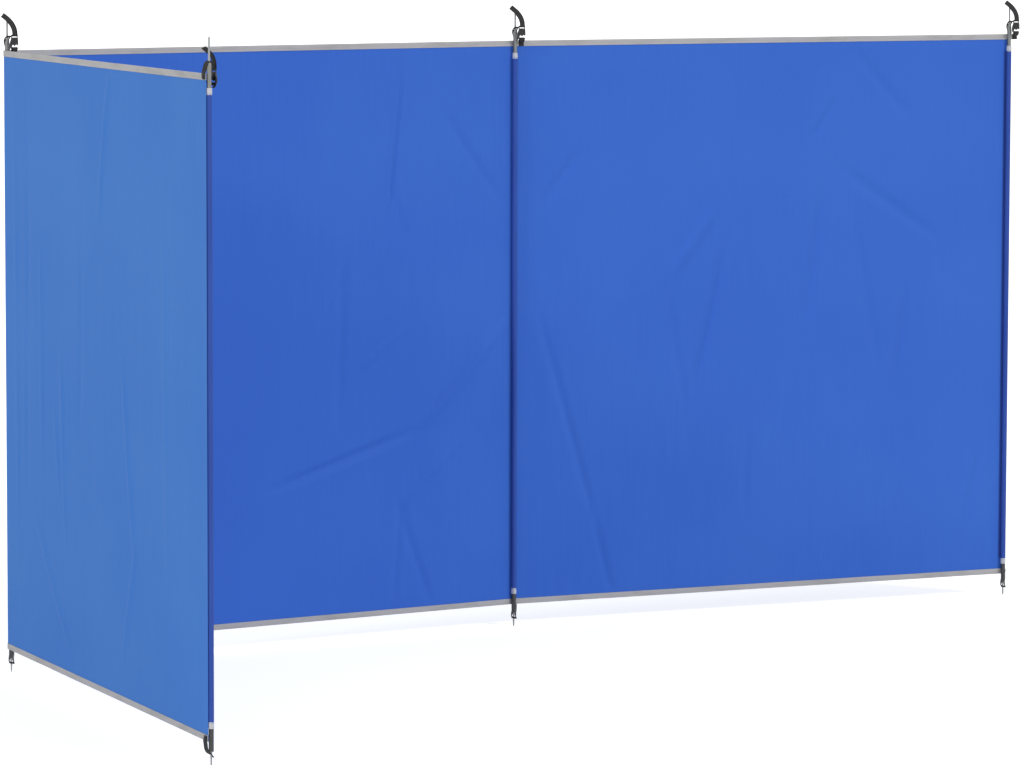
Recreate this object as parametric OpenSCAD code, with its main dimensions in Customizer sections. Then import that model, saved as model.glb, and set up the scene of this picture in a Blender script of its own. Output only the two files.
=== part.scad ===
// Three-bay beach windbreak: cloth bays sewn into one strip, carried by four two-part steel
// poles in cloth sleeves. Each pole has a ground pin, a top pin, a strap and buckle that
// tension the upper edge, and a foot strap that holds the lower edge down.
//
// Frame: millimetres, +Z up. The origin is the flat tip of the corner pole's ground pin.
// +X runs along the middle bay from the corner pole, and -Y is the sheltered side.
// In each bay's own frame x runs from its left pole to its right pole and +y is windward.

/* [Bays] */
// Width of one bay, pole centre to pole centre
bay_w = 1500; // [900:10:2400]
// Height of the cloth over its two edge tapes
cloth_h = 1500; // [900:10:1800]
// Thickness of the cloth slab
cloth_t = 1.2; // [0.8:0.1:2]
// Angle by which the left bay turns in from a straight line
left_turn = 80; // [0:1:100]
// Angle by which the right bay turns in from a straight line
right_turn = 8; // [0:1:100]

/* [Edge tape] */
// Height of the tape folded over each long edge
tape_h = 16; // [10:1:30]
// Thickness of one layer of tape
tape_t = 0.8; // [0.4:0.1:1.2]

/* [Poles] */
// Outside diameter of the lower tube
lower_d = 12; // [10:0.5:20]
// Wall of both tubes
tube_wall = 0.7; // [0.5:0.1:1.2]
// Length of the lower tube
lower_len = 820; // [500:10:1000]
// Length of the upper tube that slides into the lower one
overlap = 90; // [40:5:150]
// Height of the upper tube's end above the cloth's upper edge
pole_rise = 24; // [15:1:60]
// Depth of the lower tube's end below the cloth's lower edge
foot_drop = 23; // [15:1:60]

/* [Pins] */
// Diameter of the ground and top pins
pin_d = 4.5; // [3:0.5:6]
// Length of the ground pin below the lower tube
ground_pin = 35; // [30:1:300]
// Length of the top pin above the upper tube
top_pin = 58; // [20:1:80]
// Length of each pin's thicker root, where the strap's eyelet sits
pin_root = 13; // [8:1:16]

/* [Sleeve] */
// Thickness of the cloth sleeve round each pole
sleeve_t = 0.8; // [0.5:0.1:1.5]
// Thickness of the binding ring at each end of the sleeve
collar_t = 1.1; // [0.8:0.1:2]
// Height of a binding ring
collar_h = 16; // [8:1:30]
// Drop from the cloth's upper edge to the upper binding ring
collar_drop = 32; // [18:1:80]
// Rise from the cloth's lower edge to the lower binding ring
collar_rise = 29; // [18:1:80]

/* [Straps] */
// Width of the webbing
strap_w = 14; // [10:1:18]
// Thickness of the webbing
strap_t = 1.5; // [1:0.1:2]
// Clear width between the upper tube and the straps beside it
strap_side = 0.3; // [0.2:0.1:4]
// Distance of the buckle in front of the pole's centre
buckle_out = 14; // [12:0.5:20]
// Height of the buckle
buckle_h = 35.5; // [30:0.5:44]
// Height by which the left end pole's buckle hangs lower than the others
slack_drop = 29; // [0:1:30]

/* [Hidden] */
$fn = 48;

slide_gap = 0.1;     // between the two tubes of a pole
sleeve_gap = 0.2;    // between the lower tube and its sleeve
cloth_gap = 0.3;     // between a binding ring and the cloth
eyelet_gap = 0.4;    // between a pin's root and the eyelet
fold_margin = 2.5;   // from a fold's tangent point to the end of the cloth slab
end_margin = 3;      // cloth beyond the tangent point at the two free ends
pin_plug = 40;       // pin and plug inside a tube
root_extra = 0.8;    // extra diameter of a pin's root
tip_len = 6;         // tapered tip of a pin
tip_d = 3;           // flat end of a ground pin
stitch = 12;         // length of webbing sewn to the tape
strap_run = 4;       // the top strap runs straight this far above the cloth's edge
strap_bend = 2;      // room for the bend where a strap turns over or under a tube's end
strap_over = 3;      // height of the top strap's middle above the tube's end
eyelet_h = 5;        // height of the stiff patch round the top strap's eyelet
buckle_arm = 2;      // width of a buckle's side arm
buckle_t = 3.2;      // thickness of a buckle
buckle_bar = 3.2;    // height of its upper and lower bars
anchor_slot = 6;     // height of its lower slot, which is open at one end
strap_slot = 4;      // height of its upper slot
buckle_lean = 4;     // the buckle's foot stands this much above the cloth's edge
foot_dip = 7;        // drop from the lower tube's end to the foot strap's eyelet
foot_tip = 11;       // drop from the lower tube's end to the foot strap's tip
foot_reach = 6;      // distance of that tip in front of the pole's centre
cut = 1;             // how far a cutting shape runs past the surface it cuts

lower_r = lower_d / 2;
upper_r = lower_r - tube_wall - slide_gap;
buckle_x = upper_r + strap_side + strap_w / 2;
buckle_w = strap_w + 2 * buckle_arm;
bore_r = lower_r - tube_wall;
pin_r = pin_d / 2;
root_r = pin_r + root_extra / 2;
sleeve_in = lower_r + sleeve_gap;
collar_r = sleeve_in + collar_t;
cloth_in = collar_r + cloth_gap;
cloth_out = cloth_in + cloth_t;
tape_out = cloth_out + tape_t;
tape_in = cloth_in - tape_t;

foot_z = ground_pin;
hem_z = foot_z + foot_drop;
edge_z = hem_z + cloth_h;
tube_top_z = edge_z + pole_rise;
top_z = tube_top_z + top_pin;
upper_z0 = foot_z + lower_len - overlap;
low_collar_z = hem_z + collar_rise;
high_collar_z = edge_z - collar_drop - collar_h;
tab_end = buckle_x + strap_w / 2;
buckle_top = buckle_lean + buckle_h;

// Place pieces in the frame of a bay, or at a pole
module in_left_bay() { rotate([0, 0, left_turn]) translate([-bay_w, 0, 0]) children(); }
module in_middle_bay() { children(); }
module in_right_bay() { translate([bay_w, 0, 0]) rotate([0, 0, -right_turn]) children(); }
module at_left_end() { in_left_bay() children(); }
module at_corner() { in_middle_bay() children(); }
module at_middle() { in_right_bay() children(); }
module at_right_end() { in_right_bay() translate([bay_w, 0, 0]) children(); }

// One bay's cloth, from x0 to x1 along the bay
module cloth(x0, x1) {
  translate([x0, cloth_in, hem_z + tape_t])
    cube([x1 - x0, cloth_t, cloth_h - 2 * tape_t]);
}

// Tape folded over an edge: a channel that the cloth's edge fills
module fold_over(x0, x1) {
  difference() {
    translate([x0, tape_in, 0])
      cube([x1 - x0, cloth_t + 2 * tape_t, tape_h]);
    translate([x0 - cut, cloth_in, tape_t])
      cube([x1 - x0 + 2 * cut, cloth_t, tape_h]);
  }
}

module hem_tape(x0, x1) {
  translate([0, 0, hem_z]) fold_over(x0, x1);
}

module top_tape(x0, x1) {
  translate([0, 0, edge_z]) mirror([0, 0, 1]) fold_over(x0, x1);
}

// Lower tube with its plug and ground pin, standing on the pin's tip
module lower_tube() {
  color([0.3, 0.3, 0.3]) {
    difference() {
      translate([0, 0, foot_z]) cylinder(r = lower_r, h = lower_len);
      translate([0, 0, foot_z + pin_plug]) cylinder(r = bore_r, h = lower_len);
    }
    translate([0, 0, foot_z - pin_root]) cylinder(r = root_r, h = pin_root + cut);
    translate([0, 0, tip_len]) cylinder(r = pin_r, h = foot_z - pin_root - tip_len);
    cylinder(r1 = tip_d / 2, r2 = pin_r, h = tip_len);
  }
}

// Upper tube with its plug and top pin
module upper_tube() {
  color([0.62, 0.63, 0.63]) {
    difference() {
      translate([0, 0, upper_z0]) cylinder(r = upper_r, h = tube_top_z - upper_z0);
      translate([0, 0, upper_z0 - cut])
        cylinder(r = upper_r - tube_wall, h = tube_top_z - pin_plug - upper_z0 + cut);
    }
    translate([0, 0, tube_top_z - cut]) cylinder(r = root_r, h = pin_root + cut);
    translate([0, 0, tube_top_z + pin_root])
      cylinder(r = pin_r, h = top_pin - pin_root - tip_len / 2);
    translate([0, 0, top_z - tip_len / 2])
      cylinder(r1 = pin_r, r2 = tip_d / 2, h = tip_len / 2);
  }
}

// A tube of cloth round the pole, from z0 up
module round_tube(z0, h, wall) {
  difference() {
    translate([0, 0, z0]) cylinder(r = sleeve_in + wall, h = h);
    translate([0, 0, z0 - cut]) cylinder(r = sleeve_in, h = h + 2 * cut);
  }
}

module sleeve() {
  color([0.24, 0.34, 0.62])
    round_tube(low_collar_z + collar_h, high_collar_z - low_collar_z - collar_h, sleeve_t);
}

module collars() {
  color([0.75, 0.76, 0.78]) {
    round_tube(low_collar_z, collar_h, collar_t);
    round_tube(high_collar_z, collar_h, collar_t);
  }
}

// A band of webbing through the given points, wide along x
module band(points) {
  for (i = [0 : len(points) - 2])
    hull() {
      translate(points[i]) cube([strap_w, strap_t, strap_t], center = true);
      translate(points[i + 1]) cube([strap_w, strap_t, strap_t], center = true);
    }
}

// Strap from the windward tape over the tube's end, down to the back of the buckle
module top_strap(drop) {
  out = tape_out + strap_t / 2;
  over_z = pole_rise + strap_over;
  back_y = strap_t / 2 - buckle_out;
  color([0.13, 0.13, 0.14])
    translate([0, 0, edge_z])
      difference() {
        union() {
          band([
            [strap_w / 2, out, -stitch],
            [strap_w / 2, out, strap_run],
            [strap_bend, upper_r + strap_bend, over_z - strap_bend / 2],
            [0, 0, over_z],
            [0.7 * buckle_x, back_y + strap_bend, over_z - drop / 10],
            [buckle_x, back_y, buckle_top - buckle_bar - drop]
          ]);
          translate([0, 0, pole_rise]) cylinder(r = strap_w / 2, h = eyelet_h);
        }
        translate([0, 0, pole_rise - cut])
          cylinder(r = root_r + eyelet_gap, h = pin_root);
      }
}

module at_buckle(drop) {
  translate([buckle_x, -buckle_out, edge_z + buckle_lean - drop]) children();
}

// Ladder-lock buckle: an upper slot for the strap, and a lower slot, open at its right end,
// that hooks into the anchor strap
module buckle(drop) {
  color([0.1, 0.1, 0.11])
    at_buckle(drop)
      difference() {
        translate([-buckle_w / 2, -buckle_t, 0])
          cube([buckle_w, buckle_t, buckle_h]);
        translate([-strap_w / 2, -buckle_t - cut, buckle_bar])
          cube([strap_w + buckle_arm + cut, buckle_t + 2 * cut, anchor_slot]);
        translate([-strap_w / 2, -buckle_t - cut, buckle_h - buckle_bar - strap_slot])
          cube([strap_w, buckle_t + 2 * cut, strap_slot]);
      }
}

// Strap sewn to the sheltered side's tape that holds the buckle's lower bar
module anchor_strap(drop) {
  sewn_y = tape_in - strap_t / 2;
  color([0.13, 0.13, 0.14])
    translate([0, 0, edge_z])
      band([
        [buckle_x, sewn_y, -stitch],
        [buckle_x, sewn_y, -3],
        [buckle_x, strap_t / 2 - buckle_out, buckle_lean + strap_t - drop]
      ]);
}

// Free end of the strap, standing up from the buckle and curling back over the pole
module strap_tail(points, drop) {
  color([0.13, 0.13, 0.14])
    translate([0, 0, edge_z - drop])
      band(points);
}

// Strap from the windward hem tape under the tube's end, with the pin through it
module foot_strap() {
  out = tape_out + strap_t / 2;
  color([0.13, 0.13, 0.14])
    translate([0, 0, hem_z])
      difference() {
        band([
          [strap_w / 2, out, stitch],
          [strap_w / 2, out, strap_bend],
          [strap_bend, out, -foot_drop],
          [0, 0, -foot_drop - foot_dip],
          [0, -foot_reach, -foot_drop - foot_tip]
        ]);
        translate([0, 0, -foot_drop - pin_root - foot_dip])
          cylinder(r = root_r + eyelet_gap, h = pin_root + foot_dip);
      }
}

// Free tail of the strap, from the front of the buckle up and back over the pole.
// The tail's points count from the cloth's upper edge, before any slack.
front_y = -buckle_out - buckle_t - strap_t / 2;
TAIL = [
  [buckle_x, front_y, buckle_top - buckle_bar],
  [buckle_x, front_y, buckle_top + 4],
  [buckle_x - 3, front_y + 3, buckle_top + 20],
  [buckle_x - 12, front_y + 8, buckle_top + 36],
  [buckle_x - 26, front_y + 15, buckle_top + 47]
];
// On the left end pole the tail stays on the bay's side of the top pin
SLACK_TAIL = [
  [buckle_x, front_y, buckle_top - buckle_bar],
  [buckle_x, front_y, buckle_top + 5],
  [buckle_x, front_y + 6, buckle_top + 24],
  [buckle_x, front_y + 15, buckle_top + 37],
  [buckle_x - 2, front_y + 27, buckle_top + 47]
];

CLOTH_BLUE = [0.23, 0.4, 0.78];
TAPE_GREY = [0.68, 0.69, 0.71];

// The three bays
module left_bay_cloth() { color(CLOTH_BLUE) in_left_bay() cloth(-end_margin, bay_w - fold_margin); }
module left_bay_hem_tape() { color(TAPE_GREY) in_left_bay() hem_tape(-end_margin, bay_w - fold_margin); }
module left_bay_top_tape() { color(TAPE_GREY) in_left_bay() top_tape(-end_margin, bay_w - fold_margin); }

module middle_bay_cloth() { color(CLOTH_BLUE) in_middle_bay() cloth(fold_margin, bay_w - fold_margin); }
module middle_bay_hem_tape() { color(TAPE_GREY) in_middle_bay() hem_tape(fold_margin, bay_w - fold_margin); }
module middle_bay_top_tape() { color(TAPE_GREY) in_middle_bay() top_tape(fold_margin, bay_w - fold_margin); }

module right_bay_cloth() { color(CLOTH_BLUE) in_right_bay() cloth(fold_margin, bay_w + end_margin); }
module right_bay_hem_tape() { color(TAPE_GREY) in_right_bay() hem_tape(fold_margin, bay_w + end_margin); }
module right_bay_top_tape() {
  color(TAPE_GREY)
    in_right_bay() {
      top_tape(fold_margin, bay_w + end_margin);
      translate([bay_w + end_margin, tape_in, edge_z - tape_h])
        cube([tab_end - end_margin, tape_t, tape_h]);
    }
}

// Left end pole, where the bays begin
module left_end_lower_tube() { at_left_end() lower_tube(); }
module left_end_upper_tube() { at_left_end() upper_tube(); }
module left_end_sleeve() { at_left_end() sleeve(); }
module left_end_collars() { at_left_end() collars(); }
module left_end_top_strap() { at_left_end() top_strap(slack_drop); }
module left_end_anchor_strap() { at_left_end() anchor_strap(slack_drop); }
module left_end_buckle() { at_left_end() buckle(slack_drop); }
module left_end_strap_tail() { at_left_end() strap_tail(SLACK_TAIL, slack_drop); }
module left_end_foot_strap() { at_left_end() foot_strap(); }

// Corner pole, between the left and middle bays
module corner_lower_tube() { at_corner() lower_tube(); }
module corner_upper_tube() { at_corner() upper_tube(); }
module corner_sleeve() { at_corner() sleeve(); }
module corner_collars() { at_corner() collars(); }
module corner_top_strap() { at_corner() top_strap(0); }
module corner_anchor_strap() { at_corner() anchor_strap(0); }
module corner_buckle() { at_corner() buckle(0); }
module corner_strap_tail() { at_corner() strap_tail(TAIL, 0); }
module corner_foot_strap() { at_corner() foot_strap(); }

// Middle pole, between the middle and right bays
module middle_lower_tube() { at_middle() lower_tube(); }
module middle_upper_tube() { at_middle() upper_tube(); }
module middle_sleeve() { at_middle() sleeve(); }
module middle_collars() { at_middle() collars(); }
module middle_top_strap() { at_middle() top_strap(0); }
module middle_anchor_strap() { at_middle() anchor_strap(0); }
module middle_buckle() { at_middle() buckle(0); }
module middle_strap_tail() { at_middle() strap_tail(TAIL, 0); }
module middle_foot_strap() { at_middle() foot_strap(); }

// Right end pole, where the bays end
module right_end_lower_tube() { at_right_end() lower_tube(); }
module right_end_upper_tube() { at_right_end() upper_tube(); }
module right_end_sleeve() { at_right_end() sleeve(); }
module right_end_collars() { at_right_end() collars(); }
module right_end_top_strap() { at_right_end() top_strap(0); }
module right_end_anchor_strap() { at_right_end() anchor_strap(0); }
module right_end_buckle() { at_right_end() buckle(0); }
module right_end_strap_tail() { at_right_end() strap_tail(TAIL, 0); }
module right_end_foot_strap() { at_right_end() foot_strap(); }

left_bay_cloth();
left_bay_top_tape();
left_bay_hem_tape();
middle_bay_cloth();
middle_bay_top_tape();
middle_bay_hem_tape();
right_bay_cloth();
right_bay_top_tape();
right_bay_hem_tape();
left_end_lower_tube();
left_end_upper_tube();
left_end_sleeve();
left_end_collars();
left_end_top_strap();
left_end_anchor_strap();
left_end_buckle();
left_end_strap_tail();
left_end_foot_strap();
corner_lower_tube();
corner_upper_tube();
corner_sleeve();
corner_collars();
corner_top_strap();
corner_anchor_strap();
corner_buckle();
corner_strap_tail();
corner_foot_strap();
middle_lower_tube();
middle_upper_tube();
middle_sleeve();
middle_collars();
middle_top_strap();
middle_anchor_strap();
middle_buckle();
middle_strap_tail();
middle_foot_strap();
right_end_lower_tube();
right_end_upper_tube();
right_end_sleeve();
right_end_collars();
right_end_top_strap();
right_end_anchor_strap();
right_end_buckle();
right_end_strap_tail();
right_end_foot_strap();
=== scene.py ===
# %% [markdown]
# # A three-bay beach windbreak
# The real thing is one long strip of coated cloth, taped along both edges, with a cloth sleeve
# sewn on wherever a steel pole stands. Straps and buckles at the pole tops pull the cloth taut.
# The construction is already settled in the frame, so this lesson only dresses it: cloth, tape,
# webbing, plastic and steel, each piece riding on the body that carries it.

# %% Load the frame
import math

import bmesh
import bpy
from mathutils import Matrix, Vector, noise


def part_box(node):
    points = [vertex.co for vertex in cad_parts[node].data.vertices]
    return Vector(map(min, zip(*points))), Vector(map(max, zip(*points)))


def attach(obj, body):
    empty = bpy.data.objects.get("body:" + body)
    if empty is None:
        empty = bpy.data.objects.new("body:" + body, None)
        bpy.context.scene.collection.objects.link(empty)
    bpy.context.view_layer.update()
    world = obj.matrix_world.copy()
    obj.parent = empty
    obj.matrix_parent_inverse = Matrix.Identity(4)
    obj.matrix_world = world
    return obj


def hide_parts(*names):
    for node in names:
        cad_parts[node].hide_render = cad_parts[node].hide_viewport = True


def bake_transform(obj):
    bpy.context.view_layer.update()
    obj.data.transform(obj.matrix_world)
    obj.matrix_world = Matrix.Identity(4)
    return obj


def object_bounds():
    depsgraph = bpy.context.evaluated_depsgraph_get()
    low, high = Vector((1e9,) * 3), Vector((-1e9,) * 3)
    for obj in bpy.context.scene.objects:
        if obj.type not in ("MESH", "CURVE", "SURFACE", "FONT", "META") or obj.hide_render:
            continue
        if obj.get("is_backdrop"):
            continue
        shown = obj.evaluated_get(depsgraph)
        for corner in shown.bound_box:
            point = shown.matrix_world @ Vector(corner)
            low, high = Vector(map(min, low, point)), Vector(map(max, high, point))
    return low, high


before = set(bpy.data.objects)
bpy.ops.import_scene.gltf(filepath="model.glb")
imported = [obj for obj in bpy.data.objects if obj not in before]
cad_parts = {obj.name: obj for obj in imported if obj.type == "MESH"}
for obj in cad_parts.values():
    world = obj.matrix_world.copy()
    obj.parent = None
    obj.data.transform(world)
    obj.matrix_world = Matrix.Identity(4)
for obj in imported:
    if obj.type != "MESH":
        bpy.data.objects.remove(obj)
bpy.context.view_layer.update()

# %% [markdown]
# ## Where things are
# Everything is placed from the frame. Each pole is an upright line, found from its lower tube.
# Each bay gets a small coordinate system of its own: x runs from its left pole to its right
# pole, y points to the windward side and z is up. The same drawing of a strap or a tape then
# serves every bay, whichever way the bay is turned.

# %% Poles and bays
POLES = {}
for pole in ("left_end", "corner", "middle", "right_end"):
    low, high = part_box(pole + "_lower_tube")
    POLES[pole] = Vector(((low.x + high.x) / 2, (low.y + high.y) / 2, 0))


def upright(origin, toward):
    """A bay's frame: its origin, x toward a second point, y to windward and z up."""
    along = (toward - origin).normalized()
    place = Matrix.Identity(4)
    place.col[0] = (along.x, along.y, 0, 0)
    place.col[1] = (-along.y, along.x, 0, 0)
    place.col[3] = (origin.x, origin.y, 0, 1)
    return place


BAYS = {
    "left_bay": upright(POLES["left_end"], POLES["corner"]),
    "middle_bay": upright(POLES["corner"], POLES["middle"]),
    "right_bay": upright(POLES["middle"], POLES["right_end"]),
}
BAY_W = (POLES["middle"] - POLES["corner"]).length

# Each pole stands in the frame of the bay that carries its strap, on that bay's body.
STANDS = {
    "left_end": ("left_bay", 0.0),
    "corner": ("middle_bay", 0.0),
    "middle": ("right_bay", 0.0),
    "right_end": ("right_bay", BAY_W),
}


def at_pole(pole):
    """The frame of a pole, turned like the bay that carries its strap."""
    bay, x = STANDS[pole]
    return BAYS[bay] @ Matrix.Translation((x, 0, 0))


print("bay width", round(BAY_W, 3), "m")

# %% Heights and depths of the cloth and its tapes
hem_low, hem_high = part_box("middle_bay_hem_tape")
edge_low, edge_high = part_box("middle_bay_top_tape")
slab_low, slab_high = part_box("middle_bay_cloth")
HEM_Z, EDGE_Z = hem_low.z, edge_high.z
TAPE_H = edge_high.z - edge_low.z - 0.001
CLOTH_Y = (slab_low.y + slab_high.y) / 2
TAPE_IN, TAPE_OUT = edge_low.y, edge_high.y
CLOTH_T = 0.0007

ring_low, ring_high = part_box("corner_collars")
sleeve_low, sleeve_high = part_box("corner_sleeve")
RING_R = (ring_high.x - ring_low.x) / 2 - 0.0004
SLEEVE_R = (sleeve_high.x - sleeve_low.x) / 2 - 0.00025
SLEEVE_Z0, SLEEVE_Z1 = sleeve_low.z, sleeve_high.z
RING_H = sleeve_low.z - ring_low.z
print("cloth", round(HEM_Z, 3), "to", round(EDGE_Z, 3), "m, tape", round(TAPE_H * 1000, 1), "mm")


def reach(node, bay):
    """Lowest and highest x of a CAD node in its bay's own frame."""
    back = BAYS[bay].inverted()
    spread = [(back @ v.co).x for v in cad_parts[node].data.vertices]
    return min(spread), max(spread)


# %% [markdown]
# ## Sums on surfaces
# A shader is a chain of small nodes. Written out one by one they are hard to read, so one
# class wraps a node's output and lets plain arithmetic add the Math nodes. Every other kind of
# node comes from the same method: its type, its settings, then what goes into it.

# %% A wire that can be added and multiplied
class Wire:
    """One output of a node, or an empty start, on which sums add Math nodes."""

    def __init__(self, tree, socket=None):
        self.tree = tree
        self.socket = socket

    def node(self, kind, settings=None, inputs=None, out=0):
        made = self.tree.nodes.new(kind)
        for key, value in (settings or {}).items():
            if key == "stops":
                for stop, (place, colour) in zip(made.color_ramp.elements, value):
                    stop.position, stop.color = place, colour
            else:
                setattr(made, key, value)
        for key, value in (inputs or {}).items():
            if isinstance(value, Wire):
                self.tree.links.new(value.socket, made.inputs[key])
            else:
                made.inputs[key].default_value = value
        return Wire(self.tree, made.outputs[out])

    def math(self, operation, *values):
        return self.node("ShaderNodeMath", {"operation": operation}, dict(enumerate(values)))

    def __add__(self, other):
        return self.math("ADD", self, other)

    def __radd__(self, other):
        return self.math("ADD", other, self)

    def __sub__(self, other):
        return self.math("SUBTRACT", self, other)

    def __rsub__(self, other):
        return self.math("SUBTRACT", other, self)

    def __mul__(self, other):
        return self.math("MULTIPLY", self, other)

    def __rmul__(self, other):
        return self.math("MULTIPLY", other, self)

    def sine(self):
        return self.math("SINE", self)

    def size(self):
        return self.math("ABSOLUTE", self)

    def step(self, low, high):
        """0 below low, 1 above high and a soft ramp between them."""
        settings = {"interpolation_type": "SMOOTHSTEP"}
        return self.node("ShaderNodeMapRange", settings, {0: self, 1: low, 2: high})

    def between(self, first, second):
        """A mix of two colours, all first where this is 0 and all second where it is 1."""
        return self.node("ShaderNodeMix", {"data_type": "RGBA"}, {0: self, 6: first, 7: second}, 2)

    def on_object(self):
        """The place in the piece's own space."""
        return self.node("ShaderNodeTexCoord", {}, {}, "Object")

    def seen_straight(self):
        """1 for rays from the camera, from mirrors and through glass, and 0 for all others."""
        kinds = [self.node("ShaderNodeLightPath", out=f"Is {kind} Ray")
                 for kind in ("Camera", "Glossy", "Transmission")]
        return self.math("MINIMUM", kinds[0] + kinds[1] + kinds[2], 1.0)


# %% [markdown]
# ## A base for every finish
# All the finishes use one Principled shader. What is the same all over is set straight on its
# sockets, and only what changes over the surface is wired. Colours are given as an eye would
# read them on a screen, and turned into the linear light that the shader works in.

# %% Starting a finish
def shade(red, green, blue):
    """A screen colour, 0 to 255, as the linear colour of a shader."""
    parts = [part / 255 for part in (red, green, blue)]
    return tuple(p / 12.92 if p <= 0.04045 else ((p + 0.055) / 1.055) ** 2.4 for p in parts) + (1.0,)


def start_finish(name, **constants):
    """A new material, a wire to begin from and a function that feeds its shader."""
    finish = bpy.data.materials.new(name)
    finish.use_nodes = True
    tree = finish.node_tree
    shader = tree.nodes["Principled BSDF"]
    for key, value in constants.items():
        shader.inputs[key.replace("_", " ")].default_value = value

    def feed(socket, wire):
        tree.links.new(wire.socket, shader.inputs[socket])

    return finish, Wire(tree), feed


def cut_place(wire):
    """The place on the flat cut of a cloth piece: along, across and up, in metres."""
    return wire.node("ShaderNodeAttribute", {"attribute_name": "cut"}, out="Vector")


def parts_of(vector):
    """The three numbers of a vector as wires."""
    return [vector.node("ShaderNodeSeparateXYZ", {}, {0: vector}, out) for out in range(3)]


def cloudy(place, scale, detail=2.0, roughness=0.5, stretch=(1, 1, 1)):
    """Soft noise about 0.5, which may be stretched along one direction."""
    where = place.node("ShaderNodeVectorMath", {"operation": "MULTIPLY"}, {0: place, 1: stretch})
    sockets = {"Vector": where, "Scale": scale, "Detail": detail, "Roughness": roughness}
    return place.node("ShaderNodeTexNoise", {}, sockets)


def raised(height, distance, strength=1.0):
    """A normal that makes height, from 0 to 1, stand up by distance."""
    sockets = {"Strength": strength, "Distance": distance, "Height": height}
    return height.node("ShaderNodeBump", {}, sockets)


TURN = 2 * math.pi

# %% [markdown]
# ## The coated cloth
# Windbreak cloth is a tight plain weave of polyester with a thin coating. Close up it shows
# threads about a millimetre apart, and from further off only soft uneven tone. Its windward
# face is given a paler blue than the sheltered one as painted light, for the brighter light that
# falls on that face. The threads are two crossed sine waves on the flat cut, so they follow the
# cloth and not the world, and stay the same when a bay turns.

# %% Cloth finish
THREAD = 0.0011


def cloth_finish(name, base, worn, gloss):
    finish, wire, feed = start_finish(
        name, Roughness=0.7, Specular_IOR_Level=gloss, Sheen_Weight=0.01, Sheen_Roughness=0.5
    )
    place = cut_place(wire)
    along, across, up = parts_of(place)
    warp = (along * (TURN / THREAD)).sine()
    weft = (up * (TURN / THREAD)).sine()
    weave = warp * weft * 0.5 + 0.5
    tone = cloudy(place, 2.2, 3.0)
    streaks = cloudy(place, 18.0, 2.0, stretch=(6.0, 1.0, 0.35))
    wear = (tone * 0.7 + streaks * 0.3).step(0.36, 0.66)
    threads = weave * 0.1 + cloudy(place, 900.0, 1.0) * 0.12
    colour = wear.between(base, worn)
    dark = tuple(part * 0.86 for part in base[:3]) + (1.0,)
    feed("Base Color", (threads * 0.9).between(colour, dark))
    feed("Roughness", 0.62 + wear * 0.1)
    feed("Normal", raised(weave, 0.00006, 0.6))
    return finish


SHELTERED_BLUE = cloth_finish("sheltered_cloth", shade(54, 102, 198), shade(59, 107, 201), 0.14)
# Painted light: the windward face is a paler copy of the sheltered cloth, for the brighter light on
# it.
WINDWARD_LIT_BLUE = cloth_finish("windward_lit_cloth", shade(64, 119, 198), shade(73, 126, 201), 0.06)
# Painted shade: the sleeves are the bay cloth given a darker, greyer blue, for the shade that lies on
# them.
SHADED_SLEEVE_BLUE = cloth_finish("sleeve_cloth", shade(50, 78, 158), shade(56, 85, 166), 0.12)
print("cloth finishes made, threads", THREAD * 1000, "mm apart")

# %% [markdown]
# ## Tape, thread and binding
# The edge tape is a pale grey ribbed band, folded over the raw edge of the cloth and sewn
# through. Its ribs run across it, and it has gathered a little dirt towards its edges. The rings
# at the sleeve ends are bound in the same grey, and the thread is a shade lighter.

# %% Tape finish
RIB = 0.0012


def tape_finish(name, base, dirty):
    finish, wire, feed = start_finish(name, Roughness=0.7, Specular_IOR_Level=0.2, Sheen_Weight=0.02)
    place = cut_place(wire)
    along, across, up = parts_of(place)
    ribs = (along * (TURN / RIB)).sine() * 0.5 + 0.5
    grain = (across * (TURN / (RIB * 0.7))).sine() * 0.5 + 0.5
    dirt = cloudy(place, 9.0, 4.0, 0.6, (1.0, 4.0, 1.0)).step(0.42, 0.72)
    colour = dirt.between(base, dirty)
    # Painted shade: the grooves between the ribs are coloured darker, on the tape and on the rings
    # and threads made with this finish.
    dark = tuple(part * 0.8 for part in base[:3]) + (1.0,)
    feed("Base Color", ((1 - ribs) * 0.3).between(colour, dark))
    feed("Roughness", 0.62 + dirt * 0.12)
    feed("Normal", raised(ribs * 0.7 + grain * 0.3, 0.00012, 0.7))
    return finish


TAPE_GREY = tape_finish("edge_tape", shade(176, 175, 176), shade(162, 161, 161))
RING_GREY = tape_finish("binding_ring", shade(196, 198, 203), shade(178, 180, 184))
THREAD_GREY = tape_finish("sewing_thread", shade(206, 208, 212), shade(190, 191, 194))

# %% [markdown]
# ## Webbing
# The straps are polypropylene webbing, a little over 14 mm wide. The face has slanted ribs in
# columns, lighter in the middle where it has rubbed, and its two selvedges are rounder and
# nearly black. The flat cut gives the distance along and across the band, so the columns follow
# every bend and twist.

# %% Webbing finish
def webbing_finish():
    finish, wire, feed = start_finish("webbing", Roughness=0.6, Specular_IOR_Level=0.25)
    along, across, up = parts_of(cut_place(wire))
    column = (across * (TURN / 0.0028)).sine()
    slant = (along * (TURN / 0.0019) + column * 1.6).sine() * 0.5 + 0.5
    from_middle = across.size()
    edge = from_middle.step(0.0035, 0.0058)
    rubbed = cloudy(cut_place(wire), 220.0, 3.0).step(0.4, 0.7) * (1 - edge)
    face = rubbed.between(shade(38, 38, 40), shade(50, 50, 52))
    band = edge.between(face, shade(14, 14, 15))
    # Painted shade: the grooves between the slanted ribs are coloured nearly black.
    feed("Base Color", ((1 - slant) * 0.45).between(band, shade(12, 12, 13)))
    feed("Roughness", 0.5 + slant * 0.15)
    feed("Normal", raised(slant, 0.00025, 0.8))
    return finish


WEBBING = webbing_finish()

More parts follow.
